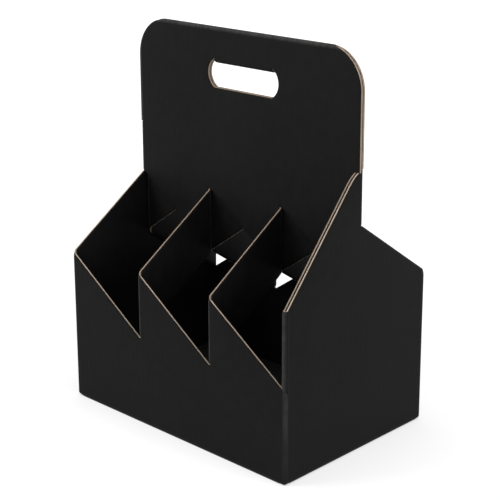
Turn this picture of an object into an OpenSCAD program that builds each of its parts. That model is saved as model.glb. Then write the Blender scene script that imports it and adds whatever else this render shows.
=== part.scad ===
// Bottle carrier with a central handle, folded from one sheet of corrugated board.
// Its walls make a tube. Slanted cuts free the dividers, which swing in about their folds and
// carry the two centre plies, so the carrier opens from flat like a parallelogram. The two
// plies are one board, folded along the top of the handle.
// One half is modelled, and the other half is the same board after a half turn about Z.

/* [Board] */
// Thickness of the corrugated board
board_t = 2.8; // [1.6:0.1:4]
// Width of the line between two plies that lie face to face
ply_line = 0.4; // [0.2:0.1:0.8]
// Depth of that line below a cut edge
ply_line_depth = 3; // [1:0.5:6]

/* [Cells] */
// Number of bottle cells in each of the two rows
columns = 3; // [2:1:4]
// Length of a cell, from fold to fold
cell = 86; // [78:1:110]

/* [Walls] */
// Height of the tooth tips on the long walls
tooth_h = 139; // [100:1:180]
// Height that a slanted cut climbs across one cell
cut_rise = 59; // [30:1:80]

/* [Ends] */
// Height of the hemmed corner above the tooth tips
hem_rise = 6.4; // [0:0.2:20]
// Height of the shoulder above the top of the low edge
shoulder_rise = 48; // [30:1:80]
// Distance from the middle plane to the bend in the steep edge
bend_y = 8.5; // [6:0.5:20]
// Height that the steep edge still climbs after its bend
bend_rise = 5.9; // [2:0.1:12]

/* [Handle] */
// Height of the handle above the shoulder
handle_rise = 97.2; // [85:0.2:140]
// Radius of the upper corners of the handle
handle_r = 35; // [10:1:60]
// Height of board above the hand slot
slot_margin = 27.5; // [20:0.5:45]
// Height of the hand slot
slot_h = 25.4; // [24:0.2:40]
// Length of the crease along the top of the hand slot
slot_w = 68; // [60:1:90]
// How far each end of the hand slot bows out past the crease
slot_bow = 7.5; // [4:0.5:12]

/* [Base] */
// Reach of the end flaps over the base
end_flap = 62; // [45:1:75]
// Slope of the end flaps where they are free, along the end
flap_slant = 12; // [4:1:25]
// Slope of the end flaps where they are glued, along the end
glue_slant = 38; // [20:1:45]
// Play between a flap and the wall or flap beside it
flap_play = 1.5; // [0.5:0.1:3]
// Distance of the base flaps from the outer faces of the ends
flap_inset = 2; // [0.5:0.1:2.5]
// Height of the end folds above the floor
end_lift = 0.6; // [0.2:0.1:1.4]
// Offset of the base seam from the middle plane
lock_jog = 8; // [2:0.5:16]
// Reach of each locking tongue past the seam
lock_reach = 34; // [20:1:50]
// Distance of a locking tongue from the middle and from the end flap
lock_gap = 7; // [3:0.5:12]
// Width of the base seam
seam = 1; // [0.5:0.1:2]
// Length of the corner relief along the long walls
relief_x = 10.6; // [4:0.2:16]
// Length of the corner relief along the ends
relief_y = 8.8; // [4:0.2:16]
// Height of the corner relief
relief_z = 2.6; // [1:0.1:2.8]

/* [Hidden] */
$fn = 96;
// Overshoot of a cutting shape
over = 0.5;
// Overall length and depth
w = columns * cell + board_t;
d = 2 * (cell + board_t);
// Heights of the notches, the low edge, the shoulder and the top
notch_h = tooth_h - cut_rise;
low_h = tooth_h + cut_rise;
hem_h = tooth_h + hem_rise;
shoulder_h = low_h + shoulder_rise;
bend_h = shoulder_h - bend_rise;
top_h = shoulder_h + handle_rise;
// Outer corner of each fold along a long wall, the two wall corners included
fold_x = [for (k = [0 : columns])
    k == 0 ? -w / 2 : k == columns ? w / 2 : -w / 2 + board_t / 2 + k * cell];
// Crease over the hand slot and the radius of the slot's bowed ends
crease_z = top_h - slot_margin;
slot_mid = crease_z - slot_h / 2;
slot_r = (pow(slot_h / 2, 2) + pow(slot_bow, 2)) / (2 * slot_bow);
slot_x = slot_w / 2 + slot_bow - slot_r;
// Length of grip flap that the roll over the back ply takes up
roll_length = PI * board_t;

// Height of the long wall's slanted cut at a distance before its notch
function cut_z(run) = notch_h + run * cut_rise / cell;

// Height of the steep edge of an end at depth y
function steep_z(y) = y < -bend_y
    ? hem_h + (bend_h - hem_h) * (y + d / 2) / (d / 2 - bend_y)
    : bend_h + bend_rise * (y + bend_y) / (board_t + bend_y);

// Board that stands across X, with its outline drawn in Y and Z
module end_board(x, t = board_t) {
    translate([x, 0, 0])
        rotate([90, 0, 90])
            linear_extrude(t)
                children();
}

// Board that stands along X, with its outline drawn in X and Z
module long_board(y, t = board_t) {
    translate([0, y + t, 0])
        rotate([90, 0, 0])
            linear_extrude(t)
                children();
}

// Waste outside a fold whose corner is at the origin, with the board towards +X and +Y
module fold_waste(length) {
    difference() {
        translate([-over, -over, 0])
            cube([board_t + over, board_t + over, length]);
        translate([board_t, board_t, -over])
            cylinder(r = board_t, h = length + 2 * over);
    }
}

// Waste outside an upright fold at (x, y), with the board turned by angle from +X and +Y
module upright_waste(x, y, angle, low, high) {
    translate([x, y, low])
        rotate([0, 0, angle])
            fold_waste(high - low);
}

// The whole object after one half and its half turn
module both_halves() {
    children();
    rotate([0, 0, 180])
        children();
}

// Long wall, whose slanted cuts leave one tooth at each fold
module long_wall() {
    long_board(-d / 2)
        polygon(concat(
            [[-w / 2, 0], [w / 2, 0]],
            [for (k = [columns : -1 : 1]) each [[fold_x[k], notch_h], [fold_x[k - 1], tooth_h]]]
        ));
}

// Divider cut from the long wall, swung in about its fold
module divider(k) {
    end_board(fold_x[k])
        polygon([[-d / 2, notch_h], [0, tooth_h], [0, low_h], [-d / 2, tooth_h]]);
}

// End wall: steep where it is doubled, low on the other side of the handle
module end_wall() {
    difference() {
        end_board(w / 2 - board_t)
            polygon([
                [-d / 2, end_lift],
                [d / 2, end_lift],
                [d / 2, tooth_h],
                [board_t, low_h],
                [board_t, shoulder_h],
                [-bend_y, bend_h],
                [-d / 2, hem_h]
            ]);
        translate([w / 2, -d / 2 - over, end_lift])
            rotate([90, 0, 180])
                fold_waste(d + 2 * over);
    }
}

// Last flap of the long wall, hemmed back against the inside of the end wall
module hem_flap() {
    end_board(w / 2 - 2 * board_t)
        polygon([
            [-d / 2, notch_h],
            [0, tooth_h],
            [0, steep_z(0)],
            [-bend_y, bend_h],
            [-d / 2, hem_h]
        ]);
}

// Full outline of the handle, drawn in by an inset, from height low upwards
module handle_outline(low, inset = 0) {
    r = handle_r - inset;
    half = w / 2 - inset;
    translate([-half, low])
        square([2 * half, top_h - handle_r - low]);
    translate([r - half, low])
        square([2 * (half - r), top_h - inset - low]);
    for (side = [-1, 1])
        translate([side * (half - r), top_h - handle_r])
            circle(r);
}

// Centre ply, whose lower edge is what the dividers left behind
module centre_ply() {
    long_board(-board_t)
        difference() {
            handle_outline(tooth_h);
            polygon(concat(
                [[-w / 2 - over, tooth_h - over], [-w / 2 - over, low_h], [-w / 2, low_h]],
                [for (k = [1 : columns - 1]) each [
                    [fold_x[k], tooth_h],
                    [fold_x[k] + board_t, tooth_h],
                    [fold_x[k] + board_t, low_h]
                ]],
                [[w / 2, tooth_h], [w / 2, tooth_h - over]]
            ));
        }
}

// Outline of the hand slot, grown on every side
module slot_outline(grow = 0) {
    intersection() {
        union() {
            for (side = [-1, 1])
                translate([side * slot_x, slot_mid])
                    circle(slot_r + grow);
            translate([-slot_x, slot_mid - slot_r])
                square([2 * slot_x, 2 * slot_r]);
        }
        translate([-w / 2, slot_mid - slot_h / 2 - grow])
            square([w, slot_h + 2 * grow]);
    }
}

// Grip flap: cut from the front ply, rolled over the back ply's edge and laid up behind it
module grip_flap() {
    long_board(board_t)
        intersection() {
            translate([0, 2 * crease_z - roll_length])
                mirror([0, 1])
                    slot_outline();
            translate([-w / 2, crease_z])
                square([w, slot_h]);
        }
    translate([-slot_w / 2, board_t / 2, crease_z])
        rotate([90, 0, 90])
            linear_extrude(slot_w)
                difference() {
                    circle(1.5 * board_t);
                    circle(board_t / 2);
                    translate([-2 * board_t, 0])
                        square(4 * board_t);
                }
}

// Base flap of a long wall, which meets its twin along a jogged seam
module base_flap() {
    linear_extrude(board_t)
        polygon([
            [-w / 2 + flap_inset, -d / 2],
            [w / 2 - flap_inset, -d / 2],
            [w / 2 - flap_inset, lock_jog - seam / 2],
            [lock_gap, lock_jog - seam / 2],
            [-lock_gap, -lock_jog - seam / 2],
            [-w / 2 + flap_inset, -lock_jog - seam / 2]
        ]);
    translate([end_flap + lock_gap - w / 2, -lock_jog - 2 * board_t, board_t])
        cube([w / 2 - end_flap - 2 * lock_gap, lock_reach + 2 * board_t, board_t]);
}

// Flap of an end wall, which lies on the base flaps
module end_base_flap() {
    inner = w / 2 - board_t;
    side = d / 2 - board_t - flap_play;
    translate([0, 0, board_t])
        linear_extrude(board_t)
            polygon([
                [inner + board_t / 2, -side],
                [inner, -side],
                [w / 2 - end_flap, -side + glue_slant],
                [w / 2 - end_flap, side - flap_slant],
                [inner, side],
                [inner + board_t / 2, side]
            ]);
}

// Line between the two plies along the steep edge of an end
module end_ply_line() {
    ys = [-d / 2 + 2 * board_t, -bend_y, -board_t];
    end_board(w / 2 - board_t - ply_line / 2, ply_line)
        polygon(concat(
            [for (y = ys) [y, steep_z(y) - ply_line_depth]],
            [for (i = [len(ys) - 1 : -1 : 0]) [ys[i], steep_z(ys[i]) + over]]
        ));
}

// Lines between the two plies along the cut edges of the handle and of its slot
module handle_ply_lines() {
    long_board(-ply_line / 2, ply_line)
        difference() {
            handle_outline(shoulder_h);
            handle_outline(shoulder_h - over, ply_line_depth);
            translate([handle_r - w / 2, shoulder_h])
                square([w - 2 * handle_r, handle_rise + over]);
            translate([-w / 2, top_h - 2 * board_t])
                square([w, 2 * board_t + over]);
        }
    long_board(-ply_line / 2, ply_line)
        intersection() {
            slot_outline(ply_line_depth);
            translate([-w / 2, crease_z - 2 * slot_h])
                square([w, 2 * slot_h]);
        }
}

// Relief of a base corner: everything below the plane through its three lengths
module corner_relief() {
    normal = [1 / relief_x, 1 / relief_y, 1 / relief_z];
    size = 2 * (relief_x + relief_y);
    translate([-w / 2, -d / 2, 0])
        rotate([0, acos(normal[2] / norm(normal)), atan2(normal[1], normal[0])])
            translate([-size / 2, -size / 2, 1 / norm(normal) - size])
                cube(size);
}

// Waste outside the folds of one half
module half_waste() {
    upright_waste(w / 2, -d / 2, 90, -over, top_h);
    upright_waste(w / 2 - 2 * board_t, -d / 2, 0, cut_z(2 * board_t + 2 * over), top_h);
    upright_waste(-w / 2, -d / 2, 0, -over, top_h);
    for (k = [1 : columns - 1])
        upright_waste(fold_x[k], -d / 2, 0, cut_z(2 * over), top_h);
    upright_waste(w / 2, board_t, 180, low_h, shoulder_h);
    translate([-w / 2 - over, -board_t, top_h])
        rotate([0, 90, 0])
            fold_waste(w + 2 * over);
    translate([-w / 2 - over, -d / 2, 0])
        rotate([90, 0, 90])
            fold_waste(w + 2 * over);
    corner_relief();
}

// The folded board
module carrier() {
    color("#232323")
        union() {
            difference() {
                both_halves() {
                    long_wall();
                    for (k = [1 : columns - 1])
                        divider(k);
                    end_wall();
                    hem_flap();
                    centre_ply();
                    base_flap();
                    end_base_flap();
                }
                both_halves()
                    half_waste();
                both_halves()
                    end_ply_line();
                handle_ply_lines();
                long_board(-board_t - over, 2 * (board_t + over))
                    slot_outline();
            }
            grip_flap();
        }
}

carrier();
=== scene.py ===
# Carrier with six cells and a central handle, folded from one sheet of black corrugated board.
# Each board is built flat, with its crushed and fluted cut edges, and is then bent along its
# folds. One half of the carrier is built, and the other is the same after half a turn about Z.

import math
from types import SimpleNamespace

import bmesh
import bpy
from bpy.props import FloatProperty, FloatVectorProperty, IntProperty, PointerProperty
from mathutils import Matrix, Vector
from mathutils.geometry import delaunay_2d_cdt


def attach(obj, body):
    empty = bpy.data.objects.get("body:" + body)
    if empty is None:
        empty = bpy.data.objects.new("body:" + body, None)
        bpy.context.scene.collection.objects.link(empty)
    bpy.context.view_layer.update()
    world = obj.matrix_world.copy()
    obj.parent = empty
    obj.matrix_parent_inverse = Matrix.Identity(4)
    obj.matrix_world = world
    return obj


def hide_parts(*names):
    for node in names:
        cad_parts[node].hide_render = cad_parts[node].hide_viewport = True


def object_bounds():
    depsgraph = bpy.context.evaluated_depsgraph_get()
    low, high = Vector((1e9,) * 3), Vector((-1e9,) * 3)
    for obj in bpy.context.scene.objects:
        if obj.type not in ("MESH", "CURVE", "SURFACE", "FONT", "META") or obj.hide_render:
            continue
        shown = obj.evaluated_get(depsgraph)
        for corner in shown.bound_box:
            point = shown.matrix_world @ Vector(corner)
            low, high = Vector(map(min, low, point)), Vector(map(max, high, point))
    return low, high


bl_info = {
    "name": "Folded Six-Cell Carrier",
    "version": (1, 0, 0),
    "blender": (4, 5, 0),
    "location": "3D View > Sidebar > Carrier",
    "description": "Builds a six-cell carrier with a central handle from one folded board",
    "category": "Add Mesh",
}

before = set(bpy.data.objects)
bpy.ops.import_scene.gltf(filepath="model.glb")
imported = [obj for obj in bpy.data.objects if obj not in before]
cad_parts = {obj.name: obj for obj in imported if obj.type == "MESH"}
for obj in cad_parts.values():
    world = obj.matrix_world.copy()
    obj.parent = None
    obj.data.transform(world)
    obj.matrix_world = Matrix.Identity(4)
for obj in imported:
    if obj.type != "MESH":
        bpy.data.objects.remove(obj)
CAD_LOW, CAD_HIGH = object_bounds()

BODY = "root"
CAD_NODE = "carrier"
FACE, CORE = 0, 1  # material indices of the printed faces and of the brown cut edges
CUT, PLAIN, SHUT = "cut", "plain", "shut"  # fluted cut edge, plain cut edge, end that joins a fold

FOLD_POWER, BASE_POWER = 2.3, 4.5  # how square the upright folds and the base folds are
INNER_RADIUS = 0.00005  # radius left on the inside of a fold, so that no face there is empty
EVERY_HEIGHT = -1  # foot of an upright fold that runs over the whole height
STRAIGHT = 0.03  # sine of a corner's turn below which it counts as straight
SHALLOW = (-0.7, -0.05)  # sines between which an inner corner is a shallow one
RIM_RINGS = 4  # steps across the crushed rim
RIM_CROWDING = 1.3  # above 1, these steps are closer together near the edge
RIM_SWELL = 0.8  # below 1, the board swells sooner to its full thickness
HOLLOW_GAP = 0.00004  # gap between a flute and the paper of a face
HOLLOW_TAPER = 0.00002  # how much narrower a hollow is on its floor, beside each face
FLUTE_STEP = 0.00008  # how far the flutes stand back from the paper of the faces
FLUTE_FOOT = 1.1  # how much thicker a flute is on the floor of the hollows
FOLD_STEPS, HEM_STEPS, ROLL_STEPS = 8, 12, 16  # steps across a fold, a hem and the grip's roll
LIFT_STEPS, RAMP_STEPS = 4, 5  # steps along the slopes of the end flaps and of the locks
BEND_STEPS = 8  # steps along the rounded bend of a steep edge
CURVE_STEPS, SLOT_STEPS, GRIP_STEPS = 18, 16, 12  # steps along the curves of the handle
PLAIN_STRIDE = 8  # a mesh step along a plain edge, in steps of a fluted one
WEAR_AND_HIGHLIGHT_LINES = (-1, -0.8, 0.8, 1)  # lines beside a fold, as shares of the run of its pale mark, which is rubbed print and painted highlight
GRID = 1e7  # vertices that agree to a ten-millionth of a metre are made once
SNAP = 4e-5  # distance at which a vertex counts as lying on a line of a split
WELD = 2e-6  # distance at which two vertices are joined
ON_MIDDLE = 1e-6  # distance at which a vertex counts as lying on the middle plane
SHARP_ANGLE = math.radians(38)  # an edge that turns more than this is shaded as a sharp one


# Sizes and colours


def metres(name, description, default):
    """A length that a user can change."""
    return FloatProperty(
        name=name, description=description, default=default,
        subtype="DISTANCE", unit="LENGTH", precision=5,
    )


def portion(name, description, default):
    """A share from 0 to 1 that a user can change."""
    return FloatProperty(
        name=name, description=description, default=default, subtype="FACTOR", min=0, max=1,
    )


def paint(name, description, default):
    """A colour that a user can change."""
    return FloatVectorProperty(
        name=name, description=description, default=default, subtype="COLOR", min=0, max=1,
    )


def watts(name, description, default):
    """The power of a lamp, which a user can change."""
    return FloatProperty(name=name, description=description, default=default, unit="POWER", min=0)


class CarrierSizes(bpy.types.PropertyGroup):
    """Outline of the folded carrier"""

    columns: IntProperty(
        name="Columns", description="Number of cells in each of the two rows",
        default=3, min=2, max=4,
    )
    tooth_h: metres("Tooth Height", "Height of the tooth tips on the long walls", 0.139)
    cut_rise: metres("Cut Rise", "Height that a slanted cut climbs across one cell", 0.059)
    hem_rise: metres("Hem Rise", "Height of the hemmed corner above the tooth tips", 0.0064)
    shoulder_rise: metres(
        "Shoulder Rise", "Height of the shoulder above the top of the low edge of an end", 0.048,
    )
    bend_y: metres(
        "Bend Distance", "Distance from the middle plane to the bend in the steep edge", 0.0085,
    )
    bend_rise: metres(
        "Bend Rise", "Height that the steep edge still climbs after its bend", 0.0059,
    )
    bend_run: metres(
        "Bend Run", "Depth on each side of the bend over which the steep edge is rounded", 0.005,
    )
    handle_r: metres("Handle Radius", "Radius of the upper corners of the handle", 0.035)
    slot_margin: metres("Slot Margin", "Height of board above the hand slot", 0.0275)
    slot_h: metres("Slot Height", "Height of the hand slot", 0.0254)
    slot_w: metres("Slot Width", "Length of the crease along the top of the hand slot", 0.068)
    slot_bow: metres(
        "Slot Bow", "How far each end of the hand slot bows out past the crease", 0.0075,
    )


class BaseSizes(bpy.types.PropertyGroup):
    """Outline of the flaps of the base"""

    end_flap: metres("End Flap", "Reach of the end flaps over the base", 0.062)
    flap_slant: metres(
        "Free Slant", "Slope of the end flaps where they are free, along the end", 0.012,
    )
    glue_slant: metres(
        "Glued Slant", "Slope of the end flaps where they are glued, along the end", 0.038,
    )
    flap_play: metres("Flap Play", "Play between an end flap and the wall beside it", 0.0015)
    side_gap: metres(
        "Side Gap", "Gap between the side of a base flap and the fold beside it", 0.0006,
    )
    end_lift: metres("End Lift", "Height of the end folds above the floor", 0.0006)
    lift_top: metres(
        "Lift Top", "Height on an end wall above which the lift of its fold has no effect", 0.01,
    )
    lift_run: metres("Lift Run", "Length over which an end flap climbs onto the base flaps", 0.012)
    lock_jog: metres("Seam Offset", "Offset of the base seam from the middle plane", 0.008)
    lock_reach: metres("Lock Reach", "Reach of each locking tongue past the seam", 0.034)
    lock_gap: metres(
        "Lock Gap", "Distance of a locking tongue from the middle and from the end flap", 0.007,
    )
    seam: metres("Seam Width", "Width of the base seam", 0.001)
    relief: FloatVectorProperty(
        name="Corner Relief",
        description="Relief of two base corners along the long wall, the end and the height",
        default=(0.0106, 0.0088, 0.0026), subtype="XYZ", unit="LENGTH", precision=5,
    )


class BoardMake(bpy.types.PropertyGroup):
    """Make-up of the corrugated board"""

    thickness: metres("Thickness", "Thickness of the board away from its cut edges", 0.0028)
    pinch: metres("Pinch", "Depth by which the die crushes each face at a cut edge", 0.0008)
    glued_pinch: metres(
        "Glued Pinch", "Depth of the crush where two plies are glued face to face", 0.00052,
    )
    pinch_run: metres(
        "Pinch Run", "Distance from a cut edge at which the board has its full thickness", 0.0024,
    )
    liner: metres("Liner", "Thickness of the paper on each face", 0.00026)
    medium: metres("Medium", "Thickness of the fluted paper", 0.00024)
    recess: metres("Recess", "Depth of the hollows between the flutes at a cut edge", 0.0006)
    flute: metres("Flute Pitch", "Distance from one flute to the next", 0.0065)
    step: metres("Edge Step", "Length of one mesh step along a fluted edge", 0.0008)
    # The pale mark along a fold is partly rubbed print and partly a painted highlight.
    wear_and_highlight_run: metres(
        "Wear Run", "Distance from the middle of a fold at which its wear ends", 0.002,
    )
    face_colour: paint("Face", "Colour of the printed faces", (0.0062, 0.0062, 0.0061))
    # Colour of the pale folds: rubbed print, and a painted highlight.
    worn_and_highlight_colour: paint(
        "Worn Fold", "Colour of the faces where a fold has stretched the print",
        (0.040, 0.039, 0.038),
    )
    rim_colour: paint(
        "Rim", "Colour of the crushed rim, where the print is rubbed off", (0.034, 0.019, 0.011),
    )
    core_colour: paint("Core", "Colour of the brown paper at a cut edge", (0.6, 0.5, 0.405))
    shaded_colour: paint(
        "Shaded Core", "Colour of the brown paper in deep shade", (0.12, 0.05, 0.02),
    )
    # Painted shade: these shares darken the core of the boards that stand in shade towards the
    # shaded colour.
    handle_shade: portion(
        "Handle Light", "Share of the core's own colour on the handle and the grip flap", 0.86,
    )
    divider_shade: portion("Divider Light", "Share of the core's own colour on the dividers", 0.66)
    hem_shade: portion("Hem Light", "Share of the core's own colour on the hem flaps", 0.58)


class StageSettings(bpy.types.PropertyGroup):
    """Floor, lamps and camera"""

    floor_colour: paint("Floor", "Colour of the floor", (0.82, 0.82, 0.82))
    floor_size: metres("Floor Size", "Length of each side of the floor", 24.0)
    left_lamp: watts("Left Lamp", "Power of the lamp on the left", 62.0)
    right_lamp: watts("Right Lamp", "Power of the lamp on the right", 40.0)
    top_lamp: watts("Top Lamp", "Power of the lamp above", 34.0)
    sky_light: portion("Sky Light", "Strength with which the background lights the carrier", 0.4)
    camera_place: FloatVectorProperty(
        name="Camera Place", description="Place of the camera",
        default=(0.80334, -0.82518, 0.52824), subtype="TRANSLATION", unit="LENGTH",
    )
    camera_turn: FloatVectorProperty(
        name="Camera Turn", description="Rotation of the camera",
        default=(1.29612, 0.00243, 0.76733), subtype="EULER", unit="ROTATION",
    )
    lens: FloatProperty(
        name="Lens", description="Focal length of the camera in millimetres", default=99.102,
    )
    shift: FloatProperty(
        name="Shift", description="Shift of the lens, as a share of the picture", default=-0.12,
    )


def derive():
    """Works out the carrier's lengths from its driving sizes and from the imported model's box."""
    scene = bpy.context.scene
    sizes = scene.carrier_sizes
    d = SimpleNamespace()
    d.t = scene.carrier_board.thickness
    d.half_w = (CAD_HIGH.x - CAD_LOW.x) / 2
    d.half_d = (CAD_HIGH.y - CAD_LOW.y) / 2
    d.top = CAD_HIGH.z
    d.cell = (2 * d.half_w - d.t) / sizes.columns
    d.fold = math.pi / 4 * d.t  # length of a square fold along the middle of the board
    d.inner_x = d.half_w - d.t
    d.inner_y = d.half_d - d.t
    d.tooth = sizes.tooth_h
    d.notch = sizes.tooth_h - sizes.cut_rise
    d.low = sizes.tooth_h + sizes.cut_rise
    d.hem = sizes.tooth_h + sizes.hem_rise
    d.shoulder = d.low + sizes.shoulder_rise
    d.bend = d.shoulder - sizes.bend_rise
    d.crease = d.top - sizes.slot_margin
    middle = range(1, sizes.columns)
    d.fold_x = [-d.half_w] + [d.t / 2 - d.half_w + k * d.cell for k in middle] + [d.half_w]
    # How much each kind of slanted cut falls or climbs over one thickness of the board
    d.drop = d.t * (d.tooth - d.notch) / d.cell  # top of a tooth
    d.climb = (d.tooth - d.notch) / d.half_d * d.t  # top and foot of a divider
    last_run = d.half_w - d.fold_x[-2] - d.t
    d.last_drop = (d.low - d.tooth) / last_run * d.t  # last cut of the handle's lower edge
    return d


def steep_z(d, y):
    """Height of the steep edge of an end at depth y, with its bend rounded."""
    sizes = bpy.context.scene.carrier_sizes
    past = y + sizes.bend_y
    steep = (d.bend - d.hem) / (d.half_d - sizes.bend_y)
    flatter = sizes.bend_rise / (d.t + sizes.bend_y)
    if past < -sizes.bend_run:
        return d.bend + steep * past
    if past > sizes.bend_run:
        return d.bend + flatter * past
    rounding = (flatter - steep) * (past + sizes.bend_run) ** 2 / (4 * sizes.bend_run)
    return d.bend + steep * past + rounding


def bend_corners(d, u_of_y):
    """Corners along the rounded bend of the steep edge, from the handle outwards."""
    sizes = bpy.context.scene.carrier_sizes
    corners = []
    for k in range(BEND_STEPS, -1, -1):
        y = sizes.bend_run * (2 * k / BEND_STEPS - 1) - sizes.bend_y
        corners.append((u_of_y(y), steep_z(d, y), CUT))
    return corners


def smooth(x):
    """Smooth step from 0 to 1."""
    x = min(max(x, 0.0), 1.0)
    return x * x * (3 - 2 * x)


# Flat boards: u runs along the board, v up it, and n through it towards the printed side


def inward(a, b):
    """Unit normal on the left of the edge from a to b."""
    along = (b - a).normalized()
    return Vector((-along.y, along.x))


def encloses(ring, place):
    """Whether a closed line goes round a place."""
    inside = False
    for a, b in zip(ring, ring[1:] + ring[:1]):
        if (a.y > place.y) != (b.y > place.y):
            if place.x < a.x + (b.x - a.x) * (place.y - a.y) / (b.y - a.y):
                inside = not inside
    return inside


class Outline:
    """Corners (u, v, kind) of a flat board, where the kind is that of the edge after the corner."""

    def __init__(self, corners, board):
        self.places = [Vector(corner[:2]) for corner in corners]
        self.kinds = [corner[2] for corner in corners]
        self.count = len(corners)
        self.board = board
        self.ease = self.easing()

    def place(self, i):
        """Where a corner is."""
        return self.places[i % self.count]

    def kind(self, i):
        """Kind of the edge after a corner."""
        return self.kinds[i % self.count]

    def normals(self, i):
        """Inward normals of the edges before and after a corner, and the sine of its turn."""
        before = inward(self.place(i - 1), self.place(i))
        after = inward(self.place(i), self.place(i + 1))
        return before, after, before.x * after.y - before.y * after.x

    def easing(self):
        """Share of the crushed rim's width at each corner: none where a cut runs out at a fold."""
        run_out = 2 * self.board.pinch_run
        ease = [1.0] * self.count
        for i in range(self.count):
            ends_cut = (self.kind(i - 1) == SHUT) != (self.kind(i) == SHUT)
            if not ends_cut or not SHALLOW[0] < self.normals(i)[2] < SHALLOW[1]:
                continue
            way = 1 if self.kind(i - 1) == SHUT else -1
            run, j = 0.0, i
            while run < run_out:
                ease[j % self.count] = min(ease[j % self.count], run / run_out)
                run += (self.place(j + way) - self.place(j)).length
                j += way
        return ease

    def run(self, i, way):
        """Length of fluted edge before (-1) or after (1) an edge, up to one flute."""
        run, j = 0.0, i + way
        while self.kind(j) == CUT and run < self.board.flute:
            run += (self.place(j + 1) - self.place(j)).length
            j += way
        return run

    def corner(self, i, distance):
        """Where a corner is after the cut edges beside it have moved inwards by a distance."""
        distance *= self.ease[i % self.count]
        first = 0 if self.kind(i - 1) == SHUT else distance
        second = 0 if self.kind(i) == SHUT else distance
        before, after, turn = self.normals(i)
        if abs(turn) < STRAIGHT:
            return self.place(i) + (before * first + after * second) / 2
        x = (first * after.y - second * before.y) / turn
        y = (second * before.x - first * after.x) / turn
        return self.place(i) + Vector((x, y))


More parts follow.
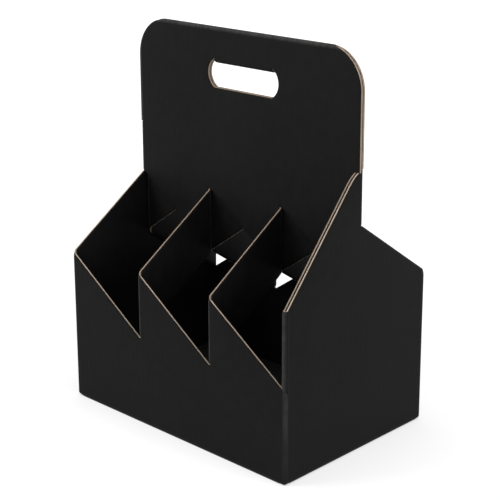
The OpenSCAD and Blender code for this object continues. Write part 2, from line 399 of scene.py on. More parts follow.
class FlatBoard:
    """A closed mesh of a flat board with crushed, fluted cut edges, which is then bent."""

    def __init__(self, corners, hole=(), pinch=None):
        self.board = bpy.context.scene.carrier_board
        self.pinch = pinch or self.board.pinch
        self.bm = bmesh.new()
        self.known = {}
        half = self.board.thickness / 2
        self.rings = []  # distance from the edge and depth of each line along the crushed rim
        for k in range(RIM_RINGS + 1):
            share = k / RIM_RINGS
            crush = self.pinch * (1 - smooth(share ** RIM_SWELL))
            self.rings.append((self.board.pinch_run * share ** RIM_CROWDING, half - crush))
        outlines = [Outline(ring, self.board) for ring in (corners, hole) if ring]
        self.fill([self.edge_band(outline) for outline in outlines])

    def vert(self, place, n):
        """The vertex at a place and depth, made once."""
        key = (round(place.x * GRID), round(place.y * GRID), round(n * GRID))
        if key not in self.known:
            self.known[key] = self.bm.verts.new((place.x, place.y, n))
        return self.known[key]

    def face(self, verts, material):
        """A face without repeated vertices."""
        kept = [v for i, v in enumerate(verts) if v is not verts[i - 1]]
        if len(set(kept)) < 3 or len(set(kept)) != len(kept):
            return
        if self.bm.faces.get(kept) is None:
            made = self.bm.faces.new(kept)
            made.material_index = material

    def section(self, wave):
        """Distance from the edge and depth of each point of the end face, from face to face."""
        board = self.board
        lip = self.rings[0][1]
        inner = lip - board.liner
        half = board.medium / 2
        middle = (inner - half - HOLLOW_GAP) * wave
        floor, foot = inner - HOLLOW_TAPER, half * FLUTE_FOOT
        return [
            (0, lip), (0, inner), (board.recess, floor),
            (board.recess, middle + foot), (FLUTE_STEP, middle + half),
            (FLUTE_STEP, middle - half), (board.recess, middle - foot),
            (board.recess, -floor), (0, -inner), (0, -lip),
        ]

    def verts_at(self, place, wave):
        """Vertices of both faces and of the end face. place(s) is the point s from the edge."""
        upper = [self.vert(place(s), n) for s, n in self.rings]
        lower = [self.vert(place(s), -n) for s, n in self.rings]
        return upper, lower, [self.vert(place(s), n) for s, n in self.section(wave)]

    def corner_verts(self, outline, i):
        """Vertices of both faces and of the end face at a corner."""
        if outline.kind(i - 1) == SHUT and outline.kind(i) == SHUT:
            half = self.board.thickness / 2
            upper, lower = (self.vert(outline.place(i), n) for n in (half, -half))
            return [upper], [lower], [upper, lower]
        return self.verts_at(lambda s: outline.corner(i, s), 0)

    def shut_edge(self, outline, i):
        """Closes an end that joins a fold. Returns its part of the inner loop."""
        upper0, lower0, side0 = self.corner_verts(outline, i)
        upper1, lower1, side1 = self.corner_verts(outline, i + 1)
        self.face(side0[::-1] + upper0 + upper1[::-1] + side1 + lower1 + lower0[::-1], FACE)
        return [(upper0[-1], lower0[-1])]

    def cut_edge(self, outline, i):
        """Builds the rims and the end face of a cut edge. Returns its part of the inner loop."""
        flute = self.board.flute
        start, end = outline.place(i), outline.place(i + 1)
        length = (end - start).length
        fluted = outline.kind(i) == CUT
        step = self.board.step * (1 if fluted else PLAIN_STRIDE)
        count = max(1, round(length / step))
        before, after = outline.run(i, -1), outline.run(i, 1)
        distances = {s for s, _ in self.rings + self.section(0)}
        lines = {s: (outline.corner(i, s), outline.corner(i + 1, s)) for s in distances}
        loop, last = [], None
        for j in range(count + 1):
            share = j / count
            wave = 0.0
            if fluted:
                wave = math.sin(2 * math.pi * start.lerp(end, share).x / flute)
                wave *= smooth((before + share * length) / flute)
                wave *= smooth((after + (1 - share) * length) / flute)
            now = self.verts_at(lambda s: lines[s][0].lerp(lines[s][1], share), wave)
            if last:
                self.join(last, now)
            last = now
            if j < count:
                loop.append((now[0][-1], now[1][-1]))
        return loop

    def join(self, last, now):
        """Faces between two rows of vertices across an edge."""
        for k in range(RIM_RINGS):
            self.face([last[0][k], now[0][k], now[0][k + 1], last[0][k + 1]], FACE)
            self.face([last[1][k + 1], now[1][k + 1], now[1][k], last[1][k]], FACE)
        for k in range(len(now[2]) - 1):
            self.face([last[2][k], last[2][k + 1], now[2][k + 1], now[2][k]], CORE)

    def edge_band(self, outline):
        """Builds the rims and the end faces along an outline. Returns its inner loop."""
        loop = []
        for i in range(outline.count):
            edge = self.shut_edge if outline.kind(i) == SHUT else self.cut_edge
            loop += edge(outline, i)
        return loop

    def fill(self, loops):
        """Fills the two faces of the board inside its rims."""
        pairs, points, edges, rings = [], [], [], []
        for loop in loops:
            kept = [p for i, p in enumerate(loop) if p[0] is not loop[i - 1][0]]
            first, count = len(pairs), len(kept)
            pairs += kept
            rings.append([p[0].co.xy for p in kept])
            points += rings[-1]
            edges += [(first + i, first + (i + 1) % count) for i in range(count)]
        found = delaunay_2d_cdt(points, edges, [], 1, 1e-9)
        places, triangles, origins = found[0], found[2], found[3]
        if not all(origins):
            raise RuntimeError("The outline of a board crosses itself")
        for triangle in triangles:
            middle = sum((places[i] for i in triangle), Vector((0, 0))) / 3
            if sum(encloses(ring, middle) for ring in rings) % 2 == 0:
                continue
            a, b, c = (pairs[origins[i][0]] for i in triangle)
            area = (b[0].co - a[0].co).cross(c[0].co - a[0].co).z
            order = (a, b, c) if area > 0 else (a, c, b)
            self.face([p[0] for p in order], FACE)
            self.face([p[1] for p in order[::-1]], FACE)

    def split(self, axis, values):
        """Splits the mesh along lines of constant u (axis 0) or v (axis 1)."""
        normal = Vector((1, 0, 0)) if axis == 0 else Vector((0, 1, 0))
        for value in values:
            bmesh.ops.bisect_plane(
                self.bm,
                geom=self.bm.verts[:] + self.bm.edges[:] + self.bm.faces[:],
                dist=SNAP,
                plane_co=normal * value,
                plane_no=normal,
            )

    def split_folds(self, axis, folds, steps=FOLD_STEPS):
        """Splits the mesh finely across its folds, and where their pale marks of rubbed print and
        painted highlight end.
        """
        values = set()
        for start, end, *_ in folds:
            values |= {start + (end - start) * k / steps for k in range(steps + 1)}
            middle, run = (start + end) / 2, self.board.wear_and_highlight_run
            values |= {middle + run * share for share in WEAR_AND_HIGHLIGHT_LINES}
        self.split(axis, sorted(values))

    def bend(self, place, u_folds=(), v_folds=(), shade=1.0):
        """Moves each vertex to place(u, v, n).

        It keeps where the vertex was, how near a fold it is, for the fold's rubbed print and
        painted highlight, how far it was crushed and how much painted shade its core has. An
        upright fold is its start, its end and the height of its foot.
        """
        bm = self.bm
        flat = bm.verts.layers.float_vector.new("flat")
        wear_highlight_layer = bm.verts.layers.float.new("fold")
        crushed = bm.verts.layers.float.new("rim")
        paper = bm.verts.layers.float.new("shade")
        run = self.board.wear_and_highlight_run
        half = self.board.thickness / 2
        for v in bm.verts:
            gaps = [abs(v.co.x - (a + b) / 2) for a, b, foot in u_folds if v.co.y >= foot]
            gaps += [abs(v.co.y - (a + b) / 2) for a, b in v_folds]
            v[wear_highlight_layer] = 1 - min([1.0] + [gap / run for gap in gaps])
            v[crushed] = min(1.0, (half - abs(v.co.z)) / self.pinch)
            v[paper] = shade
            v[flat] = v.co.copy()
            v.co = Vector(place(*v.co))
        bmesh.ops.remove_doubles(bm, verts=bm.verts[:], dist=WELD)
        bmesh.ops.recalc_face_normals(bm, faces=bm.faces[:])


def squared(angle, power):
    """Swell of an arc at an angle from its start: 2 leaves it round, more makes it squarer."""
    cosine, sine = abs(math.cos(angle)), abs(math.sin(angle))
    return (cosine ** power + sine ** power) ** (-1 / power)


def walk(start, heading, steps):
    """Follows a board in plan.

    Returns a function from u to (x, y, heading) on its middle, with the radius of the turn
    there, positive to the left, and the swell of its outer corner.
    """
    legs = []
    x, y = start
    u = 0.0
    for kind, size, radius in steps:
        length = size if kind == "ahead" else abs(size) * radius
        legs.append((u, kind, size, radius, x, y, heading))
        if kind == "ahead":
            x += size * math.cos(heading)
            y += size * math.sin(heading)
        else:
            side = math.copysign(1, size)
            cx = x - side * radius * math.sin(heading)
            cy = y + side * radius * math.cos(heading)
            heading += size
            x = cx + side * radius * math.sin(heading)
            y = cy - side * radius * math.cos(heading)
        u += length

    def at(u):
        leg = [g for g in legs if g[0] <= u + 1e-9] or legs[:1]
        begin, kind, size, radius, x, y, heading = leg[-1]
        if kind == "ahead":
            run = u - begin
            return x + run * math.cos(heading), y + run * math.sin(heading), heading, 0, 1
        side = math.copysign(1, size)
        turned = side * (u - begin) / radius
        cx = x - side * radius * math.sin(heading)
        cy = y + side * radius * math.cos(heading)
        now = heading + turned
        hemmed = abs(size) > 2  # more than a right angle: the board is folded back on itself
        swell = 1 if hemmed else squared(turned, FOLD_POWER)
        return (
            cx + side * radius * math.sin(now), cy - side * radius * math.cos(now), now,
            side * radius, swell,
        )

    return at


def upright(at, side):
    """Placing of a board that stands up along a way, with its printed side left (1) or right."""
    def place(u, v, n):
        x, y, heading, radius, swell = at(u)
        reach = radius - side * n
        if radius:
            reach = math.copysign(max(abs(reach), INNER_RADIUS), radius)
        left = radius - reach * swell
        return x - left * math.sin(heading), y + left * math.cos(heading), v
    return place


def arc(centre, radius, start, end, count):
    """Cut corners along an arc, without its last point. Angles are in degrees."""
    found = []
    for k in range(count):
        angle = math.radians(start + (end - start) * k / count)
        x = centre[0] + radius * math.cos(angle)
        y = centre[1] + radius * math.sin(angle)
        found.append((x, y, CUT))
    return found


# Finishes


def link_chain(tree, *sockets):
    """Links sockets pair by pair."""
    for source, target in zip(sockets[::2], sockets[1::2]):
        tree.links.new(source, target)


def noise(tree, vector, scale, detail=3.0, roughness=0.55):
    """A noise texture on a vector socket."""
    node = tree.nodes.new("ShaderNodeTexNoise")
    node.inputs["Scale"].default_value = scale
    node.inputs["Detail"].default_value = detail
    node.inputs["Roughness"].default_value = roughness
    tree.links.new(vector, node.inputs["Vector"])
    return node.outputs["Fac"]


def spread(tree, value, low, high, to_low=0.0, to_high=1.0):
    """Maps a value from one range to another, and clamps it."""
    node = tree.nodes.new("ShaderNodeMapRange")
    node.inputs["From Min"].default_value = low
    node.inputs["From Max"].default_value = high
    node.inputs["To Min"].default_value = to_low
    node.inputs["To Max"].default_value = to_high
    tree.links.new(value, node.inputs["Value"])
    return node.outputs["Result"]


def maths(tree, operation, first, second):
    """A maths node on two sockets or numbers."""
    node = tree.nodes.new("ShaderNodeMath")
    node.operation = operation
    for socket, value in zip(node.inputs, (first, second)):
        if isinstance(value, (int, float)):
            socket.default_value = value
        else:
            tree.links.new(value, socket)
    return node.outputs["Value"]


def blended(tree, first, second, share):
    """A mean of two values, in which the first has a share."""
    first = maths(tree, "MULTIPLY", first, share)
    return maths(tree, "ADD", first, maths(tree, "MULTIPLY", second, 1 - share))


def mixed(tree, factor, first, second):
    """A colour mix of two colours or sockets."""
    node = tree.nodes.new("ShaderNodeMix")
    node.data_type = "RGBA"
    tree.links.new(factor, node.inputs["Factor"])
    for socket, value in zip((node.inputs["A"], node.inputs["B"]), (first, second)):
        if isinstance(value, bpy.types.NodeSocket):
            tree.links.new(value, socket)
        else:
            socket.default_value = (*value, 1)
    return node.outputs["Result"]


def attribute(tree, name, output="Fac"):
    """A value that the mesh carries."""
    node = tree.nodes.new("ShaderNodeAttribute")
    node.attribute_name = name
    return node.outputs[output]


def separated(tree, vector):
    """The X, Y and Z outputs of a vector."""
    node = tree.nodes.new("ShaderNodeSeparateXYZ")
    tree.links.new(vector, node.inputs["Vector"])
    return node.outputs


def stretched(tree, vector, scale):
    """A vector scaled along its three axes."""
    node = tree.nodes.new("ShaderNodeMapping")
    node.inputs["Scale"].default_value = scale
    tree.links.new(vector, node.inputs["Vector"])
    return node.outputs["Vector"]


def bumped(tree, shader, height, strength, distance):
    """A bump from a height, on a shader."""
    node = tree.nodes.new("ShaderNodeBump")
    node.inputs["Strength"].default_value = strength
    node.inputs["Distance"].default_value = distance
    link_chain(tree, height, node.inputs["Height"], node.outputs["Normal"], shader.inputs["Normal"])


def tinted(colour, factor):
    """A colour made lighter or darker."""
    return tuple(min(1.0, c * factor) for c in colour)


def fluted_bump(tree, flat, flute):
    """Height of the flutes that show faintly through the paper of a face."""
    wave = tree.nodes.new("ShaderNodeTexWave")
    wave.bands_direction = "X"
    wave.inputs["Scale"].default_value = math.pi / 10 / flute  # one band for each flute
    wave.inputs["Distortion"].default_value = 0.6
    wave.inputs["Detail Scale"].default_value = 0.4
    tree.links.new(flat, wave.inputs["Vector"])
    return wave.outputs["Fac"]


def paint_face(tree, shader, board):
    """Matt black print on the paper.

    It shows paper fibre, the flutes faintly through the paper, scuffs, paler folds that are
    partly rubbed print and partly a painted highlight fading towards the bottom, and a brown
    rim where the die has rubbed the print off the crushed edge.
    """
    black = board.face_colour
    flat = attribute(tree, "flat", "Vector")
    cloud = noise(tree, flat, scale=14, detail=4, roughness=0.6)
    mottle = noise(tree, flat, scale=110, detail=3, roughness=0.6)
    fibre = noise(tree, stretched(tree, flat, (1, 0.3, 1)), scale=1500, detail=2, roughness=0.6)
    tone = blended(tree, cloud, mottle, 0.55)
    paper = mixed(tree, spread(tree, tone, 0.38, 0.62), tinted(black, 0.76), tinted(black, 1.2))
    fleck = spread(tree, fibre, 0.56, 0.78, to_high=0.7)
    paper = mixed(tree, fleck, paper, tinted(black, 1.9))

    streak = noise(tree, stretched(tree, flat, (1, 0.12, 1)), scale=34, detail=5, roughness=0.68)
    grain = noise(tree, flat, scale=420, detail=2)
    scuff = maths(
        tree, "MULTIPLY",
        spread(tree, streak, 0.6, 0.74), spread(tree, grain, 0.42, 0.62, to_high=0.55),
    )
    paper = mixed(tree, scuff, paper, tinted(black, 2.3))

    rub = noise(tree, stretched(tree, flat, (1, 0.25, 1)), scale=260, detail=4, roughness=0.7)
    # Paler folds: rubbed print and a painted highlight, which fades towards the bottom of a board.
    wear_highlight_mask = maths(
        tree, "MULTIPLY",
        spread(tree, attribute(tree, "fold"), 0.1, 0.8), spread(tree, rub, 0.3, 0.62, to_low=0.25),
    )
    highlight_fade_down = spread(tree, separated(tree, flat)["Y"], 0.0, 0.09, to_low=0.32)
    wear_highlight_mask = maths(tree, "MULTIPLY", wear_highlight_mask, highlight_fade_down)
    paper = mixed(tree, wear_highlight_mask, paper, tuple(board.worn_and_highlight_colour))

    rim = spread(tree, attribute(tree, "rim"), 0.6, 1.0)
    chipped = maths(tree, "MULTIPLY", rim, spread(tree, rub, 0.36, 0.66, to_low=0.15))
    paper = mixed(tree, chipped, paper, tuple(board.rim_colour))
    rough = spread(tree, maths(tree, "ADD", tone, scuff), 0.3, 0.9, to_low=0.52, to_high=0.68)
    link_chain(tree, paper, shader.inputs["Base Color"], rough, shader.inputs["Roughness"])
    shader.inputs["Specular IOR Level"].default_value = 0.055
    height = blended(tree, fluted_bump(tree, flat, board.flute), fibre, 0.5)
    bumped(tree, shader, height, strength=0.5, distance=0.00012)


def paint_core(tree, shader, board):
    """Brown paper at the cut edges, with torn fibre, and darker on the boards in shade."""
    brown = board.core_colour
    flat = attribute(tree, "flat", "Vector")
    blotch = noise(tree, flat, scale=90, detail=4, roughness=0.65)
    fibre = noise(tree, flat, scale=1700, detail=3, roughness=0.7)
    paper = mixed(tree, spread(tree, blotch, 0.3, 0.7), tinted(brown, 0.82), tinted(brown, 1.1))
    torn = spread(tree, fibre, 0.35, 0.75, to_high=0.6)
    paper = mixed(tree, torn, paper, tinted(brown, 0.6))
    # Painted shade: the core is darker and browner on the boards that stand in shade.
    paper = mixed(tree, attribute(tree, "shade"), tuple(board.shaded_colour), paper)
    tree.links.new(paper, shader.inputs["Base Color"])
    shader.inputs["Specular IOR Level"].default_value = 0.2
    shader.inputs["Roughness"].default_value = 0.85
    bumped(tree, shader, fibre, strength=0.5, distance=0.0002)


FINISHES = {"carrier_black_face": paint_face, "carrier_brown_core": paint_core}


def material_of(name):
    """The material of this name, made once."""
    if name not in bpy.data.materials:
        material = bpy.data.materials.new(name)
        material.use_nodes = True
        tree = material.node_tree
        shader = tree.nodes["Principled BSDF"]
        FINISHES[name](tree, shader, bpy.context.scene.carrier_board)
    return bpy.data.materials[name]


# Pieces


def add_piece(name, bm, half_turn=False):
    """Makes one piece of the carrier from a mesh, as it stands or after half a turn about Z."""
    if bm.calc_volume(signed=True) < 0:
        bmesh.ops.reverse_faces(bm, faces=bm.faces[:])
    mesh = bpy.data.meshes.new(name)
    bm.to_mesh(mesh)
    if half_turn:
        mesh.transform(Matrix.Rotation(math.pi, 4, "Z"))
    for polygon in mesh.polygons:
        polygon.use_smooth = True
    mesh.set_sharp_from_angle(angle=SHARP_ANGLE)
    for material in FINISHES:
        mesh.materials.append(material_of(material))
    piece = bpy.data.objects.new(name, mesh)
    bpy.context.scene.collection.objects.link(piece)
    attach(piece, BODY)
    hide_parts(CAD_NODE)


def add_both(name, bm):
    """Makes a piece of the front half and its twin of the back half."""
    add_piece(name + "_1", bm)
    add_piece(name + "_2", bm, half_turn=True)
    bm.free()


class CARRIER_OT_walls(bpy.types.Operator):
    """Add the outer walls with their base flaps: a long wall and an end wall for each half"""

    bl_idname = "carrier.walls"
    bl_label = "Add Walls"

    def execute(self, context):
        d = derive()
        base = context.scene.carrier_base
        wall, end = 2 * d.inner_x, 2 * d.inner_y
        u1, u2 = wall, wall + d.fold
        u3, u4 = wall + d.fold + end, wall + 2 * d.fold + end
        path = walk((-d.inner_x, d.t / 2 - d.half_d), 0.0, [
            ("ahead", wall, 0), ("turn", math.pi / 2, d.t / 2),
            ("ahead", end, 0), ("turn", math.pi / 2, d.t / 2),
        ])

        def end_u(y):
            return u2 + y + d.inner_y

        corners = self.base_corners(d, base, u1, u2, u3)
        corners += self.top_corners(d, end_u, u1, u2, u3, u4)
        flat = FlatBoard(corners)
        u_folds, v_folds = [(u1, u2, EVERY_HEIGHT), (u3, u4, EVERY_HEIGHT)], [(-d.fold, 0)]
        # The pale line on the end wall beside the handle's fold is a painted highlight.
        painted_highlight_fold = (end_u(0), end_u(d.fold), d.low)
        highlight_end = end_u(d.fold / 2 - flat.board.wear_and_highlight_run)
        flat.split_folds(0, u_folds)
        flat.split(0, [highlight_end, (highlight_end + end_u(0)) / 2])
        flat.split_folds(1, v_folds)
        lift_step = base.lift_run / LIFT_STEPS
        flat.split(1, [-d.fold - lift_step * k for k in range(1, LIFT_STEPS + 1)])

        def place(u, v, n):
            x, y, heading, radius, swell = path(u)
            depth = d.t / 2 + n
            if radius or -d.fold <= v < 0:
                depth = max(depth, INNER_RADIUS)
            out = Vector((math.sin(heading), -math.cos(heading)))
            inner = Vector((x, y)) - out * d.t / 2
            on_end = smooth((u - u1) / d.fold) - smooth((u - u3) / d.fold)
            lowest = d.t + base.end_lift * on_end
            if v >= 0:
                z = v
                if v <= base.lift_top:
                    z = lowest + v * (base.lift_top - lowest) / base.lift_top
                at = inner + out * depth * swell
            elif v >= -d.fold:
                angle = -v / d.fold * math.pi / 2
                square = squared(angle, BASE_POWER)
                z = lowest - depth * square * math.sin(angle)
                at = inner + out * depth * swell * square * math.cos(angle)
            else:
                inwards = -d.fold - v
                lift = (2 * d.t - lowest) * on_end * smooth(inwards / base.lift_run)
                z = lowest - depth + lift
                at = inner - out * inwards
            return at.x, at.y, z

        flat.bend(place, [*u_folds, painted_highlight_fold], v_folds)
        for corner in (Vector((-d.half_w, -d.half_d, 0)), Vector((d.half_w, d.half_d, 0))):
            self.relieve(flat.bm, corner, base.relief)
        add_both("walls", flat.bm)
        return {"FINISHED"}

    def base_corners(self, d, base, u1, u2, u3):
        """Corners round the flap below the long wall and the flap below the end wall."""
        foot = -d.fold
        gap = d.t / 2 + base.side_gap
        near = foot - (d.inner_y - base.lock_jog - base.seam / 2)
        far = foot - (d.inner_y + base.lock_jog - base.seam / 2)
        reach = foot - (base.end_flap - d.t)
        play = base.flap_play
        return [
            (0, foot, PLAIN), (gap, foot, PLAIN), (gap, near, PLAIN),
            (u1 / 2 - base.lock_gap, near, PLAIN), (u1 / 2 + base.lock_gap, far, PLAIN),
            (u1 - gap, far, PLAIN), (u1 - gap, foot, PLAIN),
            (u2 + play, foot, PLAIN), (u2 + play + base.glue_slant, reach, PLAIN),
            (u3 - play - base.flap_slant, reach, PLAIN), (u3 - play, foot, PLAIN),
        ]

    def top_corners(self, d, end_u, u1, u2, u3, u4):
        """Corners along the top, from the far side of the end wall back to the first tooth."""
        slope = (d.low - d.tooth) / (d.half_d - d.t)
        first = d.tooth - d.t * (d.tooth - d.notch) / (d.half_w + d.fold_x[1])
        corners = [
            (u4, -d.fold, SHUT), (u4, first, CUT),
            (u3, d.tooth + d.t * slope, CUT), (end_u(d.t), d.low, PLAIN),
            (end_u(0), d.low, SHUT), (end_u(0), steep_z(d, 0), CUT),
            *bend_corners(d, end_u), (u2, steep_z(d, -d.inner_y), SHUT),
            (u2, d.notch, CUT), (u1, d.notch + d.drop, CUT),
        ]
        for x in d.fold_x[-2:0:-1]:
            u = x + d.inner_x
            corners += [
                (u + d.t, d.tooth - d.drop, SHUT), (u + d.t, d.notch, PLAIN), (u, d.notch, CUT),
            ]
        return corners + [(0, first, SHUT)]

    def relieve(self, bm, corner, relief):
        """Cuts a base corner off below the plane through its three lengths."""
        inward_x, inward_y = -math.copysign(1, corner.x), -math.copysign(1, corner.y)
        normal = Vector((inward_x / relief[0], inward_y / relief[1], 1 / relief[2]))
        on_plane = corner + Vector((0, 0, relief[2]))
        cut = bmesh.ops.bisect_plane(
            bm, geom=bm.verts[:] + bm.edges[:] + bm.faces[:], dist=1e-7,
            plane_co=on_plane, plane_no=-normal, clear_outer=True,
        )
        rim = [e for e in cut["geom_cut"] if isinstance(e, bmesh.types.BMEdge)]
        if rim:
            bmesh.ops.holes_fill(bm, edges=[e for e in rim if e.is_boundary], sides=0)


class CARRIER_OT_hems(bpy.types.Operator):
    """Add the flaps that are hemmed back against the inside of the end walls"""

    bl_idname = "carrier.hems"
    bl_label = "Add Hem Flaps"

    def execute(self, context):
        d = derive()
        hem = math.pi * d.t / 2
        ahead = d.inner_y - d.t
        path = walk((d.half_w - d.t / 2, -d.inner_y), -math.pi / 2, [
            ("turn", -math.pi, d.t / 2), ("ahead", ahead, 0), ("turn", math.pi / 2, d.t / 2),
        ])
        u1, u2, u3 = hem, hem + ahead, hem + ahead + d.fold
        outer, inner = steep_z(d, -d.inner_y), steep_z(d, -d.t)

        def hem_u(y):
            return hem + d.inner_y + y

        flat = FlatBoard([
            (0, d.notch, PLAIN), (u1, d.notch + d.climb, CUT),
            (u2, d.tooth - d.climb, PLAIN), (u3, d.tooth + 2 * d.last_drop, SHUT),
            (u3, inner, PLAIN), (u2, inner, CUT), *bend_corners(d, hem_u),
            (u1, outer, CUT), (0, outer, SHUT),
        ])
        folds = [(0, u1, EVERY_HEIGHT), (u2, u3, EVERY_HEIGHT)]
        flat.split_folds(0, folds, HEM_STEPS)
        flat.bend(upright(path, 1), folds, shade=context.scene.carrier_board.hem_shade)
        add_both("hem_flap", flat.bm)
        return {"FINISHED"}


class CARRIER_OT_dividers(bpy.types.Operator):
    """Add the dividers that are cut from the long walls and swung in to the handle"""

    bl_idname = "carrier.dividers"
    bl_label = "Add Dividers"

    def execute(self, context):
        d = derive()
        ahead = d.inner_y - d.t
        u1, u2, u3 = d.fold, d.fold + ahead, 2 * d.fold + ahead
        folds = [(0, u1, EVERY_HEIGHT), (u2, u3, EVERY_HEIGHT)]
        for k, x in enumerate(d.fold_x[1:-1], 1):
            path = walk((x + d.t, d.t / 2 - d.half_d), math.pi, [
                ("turn", -math.pi / 2, d.t / 2), ("ahead", ahead, 0),
                ("turn", math.pi / 2, d.t / 2),
            ])
            flat = FlatBoard([
                (0, d.notch, PLAIN), (u1, d.notch + d.climb, CUT),
                (u2, d.tooth - d.climb, PLAIN), (u3, d.tooth, SHUT),
                (u3, d.low, PLAIN), (u2, d.low - d.climb, CUT),
                (u1, d.tooth + d.climb, CUT), (0, d.tooth - d.drop, SHUT),
            ])
            flat.split_folds(0, folds)
            flat.bend(upright(path, 1), folds, shade=context.scene.carrier_board.divider_shade)
            add_both(f"divider_{k}", flat.bm)
        return {"FINISHED"}


def slot_end(sizes):
    """Half height, radius, centre distance and half angle of the hand slot's bowed ends."""
    half = sizes.slot_h / 2
    radius = (half ** 2 + sizes.slot_bow ** 2) / (2 * sizes.slot_bow)
    centre = sizes.slot_w / 2 + sizes.slot_bow - radius
    return half, radius, centre, math.degrees(math.asin(half / radius))


class CARRIER_OT_handle(bpy.types.Operator):
    """Add the two plies of the handle, which are one board folded along its top"""

    bl_idname = "carrier.handle"
    bl_label = "Add Handle"

    def execute(self, context):
        d = derive()
        sizes = context.scene.carrier_sizes
        board = context.scene.carrier_board
        path = walk((d.t / 2 - d.half_w, 0.0), -math.pi / 2, [
            ("turn", math.pi / 2, d.t / 2), ("ahead", d.inner_x + d.half_w, 0),
        ])

        def u_of(x):
            return d.fold + x + d.inner_x

        fold_z = d.top - d.t
        corners = self.lower_corners(d, u_of) + self.upper_corners(d, sizes, u_of)
        flat = FlatBoard(corners, self.slot_corners(d, sizes, u_of), board.glued_pinch)
        folds, top_fold = [(0, d.fold, EVERY_HEIGHT)], [(fold_z, fold_z + d.fold)]
        flat.split_folds(0, folds)
        flat.split_folds(1, top_fold)
        bent = upright(path, -1)

        def place(u, v, n):
            if v > fold_z:
                angle = (v - fold_z) / d.fold * math.pi / 2
                out = max(d.t / 2 + n, INNER_RADIUS) * squared(angle, FOLD_POWER)
                depth, z = out * math.cos(angle), fold_z + out * math.sin(angle)
                return u - d.fold - d.inner_x, -depth, z
            if v > d.shoulder or u > d.fold:
                return u - d.fold - d.inner_x, -d.t / 2 - n, v
            return bent(u, v, n)

        flat.bend(place, folds, top_fold, shade=board.handle_shade)
        self.join_twin(flat.bm, fold_z)
        add_piece("handle", flat.bm)
        flat.bm.free()
        return {"FINISHED"}

    def lower_corners(self, d, u_of):
        """Corners along the saw-toothed lower edge, from the fold at the end wall."""
        corners = [(0, d.low, PLAIN), (u_of(-d.inner_x), d.low, CUT)]
        for x in d.fold_x[1:-1]:
            corners += [
                (u_of(x), d.tooth, SHUT), (u_of(x), d.low, PLAIN), (u_of(x + d.t), d.low, CUT),
            ]
        hem_u = u_of(d.half_w - 2 * d.t)
        return corners + [
            (hem_u, d.tooth + 2 * d.last_drop, SHUT), (hem_u, steep_z(d, -d.t), PLAIN),
            (u_of(d.half_w), steep_z(d, -d.t), CUT),
        ]

    def upper_corners(self, d, sizes, u_of):
        """Corners round the top, where the cuts run out into the fold, down to the shoulder."""
        r = sizes.handle_r
        left, right = u_of(-d.half_w), u_of(d.half_w)
        centre_z = d.top - r
        last = 76.0  # angle on the corner's curve at which the cut starts to run out
        run_out = math.radians(25)  # slope of the cut from there to the fold
        end_x = r * math.cos(math.radians(last))
        end_z = centre_z + r * math.sin(math.radians(last))
        reach = end_x - (d.top - end_z) / math.tan(run_out)
        rounded = arc((right - r, centre_z), r, 0, last, CURVE_STEPS)
        rounded += [(right - r + end_x, end_z, CUT), (right - r + reach, d.top, SHUT)]
        rounded += [(left + r - reach, d.top, CUT), (left + r - end_x, end_z, CUT)]
        rounded += arc((left + r, centre_z), r, 180 - last, 180, CURVE_STEPS)[1:]
        fold_z = d.top - d.t
        corners = []
        for u, z, kind in rounded:
            turned = math.asin(min(max(z - fold_z, 0) / d.t, 1)) / (math.pi / 2)
            corners.append((u, min(z, fold_z) + turned * d.fold, kind))
        slit = 0.00002  # half of the width of the cut that frees the ply from its fold
        return corners + [
            (left, centre_z, CUT), (left, d.shoulder + slit, SHUT),
            (u_of(-d.inner_x), d.shoulder + slit, SHUT),
            (u_of(-d.inner_x), d.shoulder - slit, SHUT), (0, steep_z(d, 0), SHUT),
        ]

    def slot_corners(self, d, sizes, u_of):
        """Corners round the hand slot, which is open at the crease of the grip flap."""
        half, radius, centre, angle = slot_end(sizes)
        middle = d.crease - half
        hole = arc((u_of(-centre), middle), radius, 180 + angle, 180 - angle, SLOT_STEPS)
        hole += [(u_of(-sizes.slot_w / 2), d.crease, SHUT)]
        hole += arc((u_of(centre), middle), radius, angle, -angle, SLOT_STEPS)
        return hole + [(u_of(sizes.slot_w / 2), middle - half, CUT)]

    def join_twin(self, bm, fold_z):
        """Adds the other ply after half a turn, and joins the two along the top of the handle."""
        copy = bmesh.ops.duplicate(bm, geom=bm.verts[:] + bm.edges[:] + bm.faces[:])
        twin = [item for item in copy["geom"] if isinstance(item, bmesh.types.BMVert)]
        bmesh.ops.rotate(bm, verts=twin, matrix=Matrix.Rotation(math.pi, 3, "Z"))
        above = fold_z + INNER_RADIUS / 2
        crown = {v for v in bm.verts if abs(v.co.y) < ON_MIDDLE and v.co.z > above}
        ends = [f for f in bm.faces if abs(f.normal.y) > 0.9 and crown.issuperset(f.verts)]
        bmesh.ops.delete(bm, geom=ends, context="FACES")
        crown = [v for v in bm.verts if abs(v.co.y) < ON_MIDDLE and v.co.z > above]
        bmesh.ops.remove_doubles(bm, verts=crown, dist=WELD)


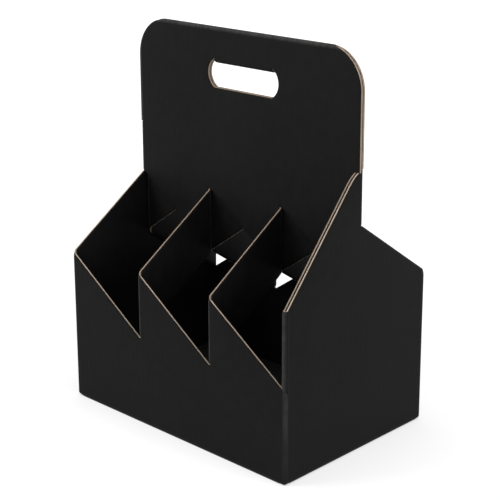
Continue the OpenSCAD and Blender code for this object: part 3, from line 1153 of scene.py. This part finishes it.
class CARRIER_OT_grip(bpy.types.Operator):
    """Add the grip flap that is rolled over the edge of the hand slot"""

    bl_idname = "carrier.grip"
    bl_label = "Add Grip Flap"

    def execute(self, context):
        d = derive()
        sizes = context.scene.carrier_sizes
        board = context.scene.carrier_board
        half, radius, centre, angle = slot_end(sizes)
        roll = math.pi * d.t
        edge = sizes.slot_w / 2
        free = 18.0  # angle on the bowed ends above which they give way to the roll
        neck_u, neck_v = edge + 0.3 * sizes.slot_bow, -0.6 * roll
        corners = [(-edge, -sizes.slot_h, CUT)]
        corners += arc((centre, -half), radius, -angle, free, GRIP_STEPS)
        corners += [(neck_u, neck_v, CUT), (edge, 0, SHUT), (-edge, 0, CUT), (-neck_u, neck_v, CUT)]
        corners += arc((-centre, -half), radius, 180 - free, 180 + angle, GRIP_STEPS)
        flat = FlatBoard(corners)
        folds = [(-roll, 0)]
        flat.split_folds(1, folds, ROLL_STEPS)

        def place(u, v, n):
            if v > 0:
                return u, -d.t / 2 - n, d.crease + v
            if v < -roll:
                return u, 1.5 * d.t + n, d.crease - v - roll
            turned = -v / d.t
            out = d.t + n
            return u, d.t / 2 - out * math.cos(turned), d.crease - out * math.sin(turned)

        flat.bend(place, (), folds, shade=board.handle_shade)
        add_piece("grip_flap", flat.bm)
        flat.bm.free()
        return {"FINISHED"}


class CARRIER_OT_locks(bpy.types.Operator):
    """Add the locking tongues of the base, which lie over the seam"""

    bl_idname = "carrier.locks"
    bl_label = "Add Base Locks"

    def execute(self, context):
        d = derive()
        base = context.scene.carrier_base
        root = 2.6 * d.t  # length of a tongue before the seam
        start = -base.lock_jog - root
        end = base.lock_reach - base.lock_jog
        ramp = 2.4 * d.t  # length over which a tongue climbs onto the flap across the seam
        low, climb = 0.53 * d.t, 0.97 * d.t  # height of its middle at its root, and its climb
        left = base.end_flap + base.lock_gap - d.half_w
        right = -base.lock_gap
        cut = base.lock_gap
        flat = FlatBoard([
            (left, -end + cut, PLAIN), (left + cut, -end, PLAIN), (right - cut, -end, PLAIN),
            (right, -end + cut, PLAIN), (right, -start, PLAIN), (left, -start, PLAIN),
        ])
        flat.split(1, [-start - ramp / RAMP_STEPS * k for k in range(1, RAMP_STEPS + 1)])

        def place(u, v, n):
            return u, -v, low + climb * smooth((-v - start) / ramp) - n

        flat.bend(place)
        add_both("base_lock", flat.bm)
        return {"FINISHED"}


# Stage


def add_lamp(name, place, size, power):
    """Adds a soft lamp of a width and height, which looks at the middle of the carrier."""
    target = Vector((0, 0, 0.17))
    data = bpy.data.lights.new(name, "AREA")
    data.shape = "RECTANGLE"
    data.size, data.size_y = size
    data.energy = power
    lamp = bpy.data.objects.new(name, data)
    lamp.location = place
    lamp.rotation_euler = (target - Vector(place)).to_track_quat("-Z", "Y").to_euler()
    bpy.context.scene.collection.objects.link(lamp)


def seen(tree):
    """1 where a camera, glossy or transmitted ray looks, and 0 where light is gathered."""
    path = tree.nodes.new("ShaderNodeLightPath")
    glossy = maths(tree, "MAXIMUM", path.outputs["Is Camera Ray"], path.outputs["Is Glossy Ray"])
    return maths(tree, "MAXIMUM", glossy, path.outputs["Is Transmission Ray"])


class CARRIER_OT_stage(bpy.types.Operator):
    """Add the floor, the lamps, the background and the camera"""

    bl_idname = "carrier.stage"
    bl_label = "Add Stage"

    def execute(self, context):
        scene = context.scene
        stage = scene.carrier_stage
        self.add_floor(stage)
        self.add_world(scene, stage)
        add_lamp("left_softbox", (-1.9, -2.0, 1.9), (1.6, 1.6), stage.left_lamp)
        add_lamp("right_softbox", (2.6, 0.3, 1.5), (1.4, 1.6), stage.right_lamp)
        add_lamp("top_softbox", (0.0, 0.2, 2.6), (1.8, 1.8), stage.top_lamp)
        camera_data = bpy.data.cameras.new("camera")
        camera_data.sensor_width = 36
        camera_data.lens = stage.lens
        camera_data.shift_y = stage.shift
        camera_data.clip_start = 0.05
        camera_data.clip_end = 60
        camera = bpy.data.objects.new("camera", camera_data)
        camera.location = stage.camera_place
        camera.rotation_euler = stage.camera_turn
        scene.collection.objects.link(camera)
        scene.camera = camera
        scene.view_settings.view_transform = "Standard"
        return {"FINISHED"}

    def add_floor(self, stage):
        """A pale floor that looks white and keeps the carrier's shadow."""
        bm = bmesh.new()
        bmesh.ops.create_grid(bm, x_segments=8, y_segments=8, size=stage.floor_size / 2)
        mesh = bpy.data.meshes.new("floor")
        bm.to_mesh(mesh)
        bm.free()
        material = bpy.data.materials.new("stage_floor")
        material.use_nodes = True
        tree = material.node_tree
        shader = tree.nodes["Principled BSDF"]
        shader.inputs["Specular IOR Level"].default_value = 0
        shader.inputs["Roughness"].default_value = 1
        see = seen(tree)
        # Where it is seen, the floor's own colour is half as light, and its glow makes up for it
        colour = mixed(tree, see, tuple(stage.floor_colour), tinted(stage.floor_colour, 0.5))
        tree.links.new(colour, shader.inputs["Base Color"])
        glow = tree.nodes.new("ShaderNodeEmission")
        level = maths(tree, "MULTIPLY", see, self.glow_level(tree))
        tree.links.new(level, glow.inputs["Strength"])
        total = tree.nodes.new("ShaderNodeAddShader")
        output = tree.nodes["Material Output"]
        link_chain(
            tree, shader.outputs["BSDF"], total.inputs[0], glow.outputs["Emission"],
            total.inputs[1], total.outputs["Shader"], output.inputs["Surface"],
        )
        mesh.materials.append(material)
        floor = bpy.data.objects.new("floor", mesh)
        bpy.context.scene.collection.objects.link(floor)

    def glow_level(self, tree):
        """Glow of the floor: none under the carrier, as painted shade, and less near it, where its
        shadow falls.
        """
        place = tree.nodes.new("ShaderNodeNewGeometry").outputs["Position"]
        far = tree.nodes.new("ShaderNodeVectorMath")
        far.operation = "LENGTH"
        tree.links.new(place, far.inputs[0])
        near_edge, far_edge = 0.5, 1.8  # distances between which the glow grows
        level = spread(tree, far.outputs["Value"], near_edge, far_edge, to_low=0.6, to_high=0.95)
        axes = separated(tree, place)
        along = maths(tree, "DIVIDE", maths(tree, "ABSOLUTE", axes["X"], 0), CAD_HIGH.x)
        across = maths(tree, "DIVIDE", maths(tree, "ABSOLUTE", axes["Y"], 0), CAD_HIGH.y)
        # No glow inside the carrier's outline: painted shade on the floor under it.
        beyond = spread(tree, maths(tree, "MAXIMUM", along, across), 0.96, 1.0)
        return maths(tree, "MULTIPLY", level, beyond)

    def add_world(self, scene, stage):
        """A background that looks white and lights the carrier softly."""
        world = bpy.data.worlds.new("stage_world")
        world.use_nodes = True
        tree = world.node_tree
        background = tree.nodes["Background"]
        background.inputs["Color"].default_value = (1, 1, 1, 1)
        strength = maths(tree, "MAXIMUM", seen(tree), stage.sky_light)
        tree.links.new(strength, background.inputs["Strength"])
        scene.world = world


class CARRIER_PT_panel(bpy.types.Panel):
    """Lists the steps that build the carrier, and its sizes and colours"""

    bl_label = "Folded Carrier"
    bl_idname = "CARRIER_PT_panel"
    bl_space_type = "VIEW_3D"
    bl_region_type = "UI"
    bl_category = "Carrier"

    def draw(self, context):
        for operator in OPERATORS:
            self.layout.operator(operator.bl_idname)
        for group in GROUPS:
            box = self.layout.box()
            settings = getattr(context.scene, group)
            for name in settings.__annotations__:
                box.prop(settings, name)


OPERATORS = (
    CARRIER_OT_walls, CARRIER_OT_hems, CARRIER_OT_dividers, CARRIER_OT_handle,
    CARRIER_OT_grip, CARRIER_OT_locks, CARRIER_OT_stage,
)
GROUPS = {
    "carrier_sizes": CarrierSizes,
    "carrier_base": BaseSizes,
    "carrier_board": BoardMake,
    "carrier_stage": StageSettings,
}


def register():
    """Registers the settings, the operators and the panel."""
    for name, group in GROUPS.items():
        bpy.utils.register_class(group)
        setattr(bpy.types.Scene, name, PointerProperty(type=group))
    for cls in (*OPERATORS, CARRIER_PT_panel):
        bpy.utils.register_class(cls)


def unregister():
    """Removes the panel, the operators and the settings."""
    for cls in (CARRIER_PT_panel, *reversed(OPERATORS)):
        bpy.utils.unregister_class(cls)
    for name, group in GROUPS.items():
        delattr(bpy.types.Scene, name)
        bpy.utils.unregister_class(group)


def main():
    register()
    for operator in OPERATORS:
        space, name = operator.bl_idname.split(".")
        getattr(getattr(bpy.ops, space), name)()


if __name__ == "__main__":
    main()
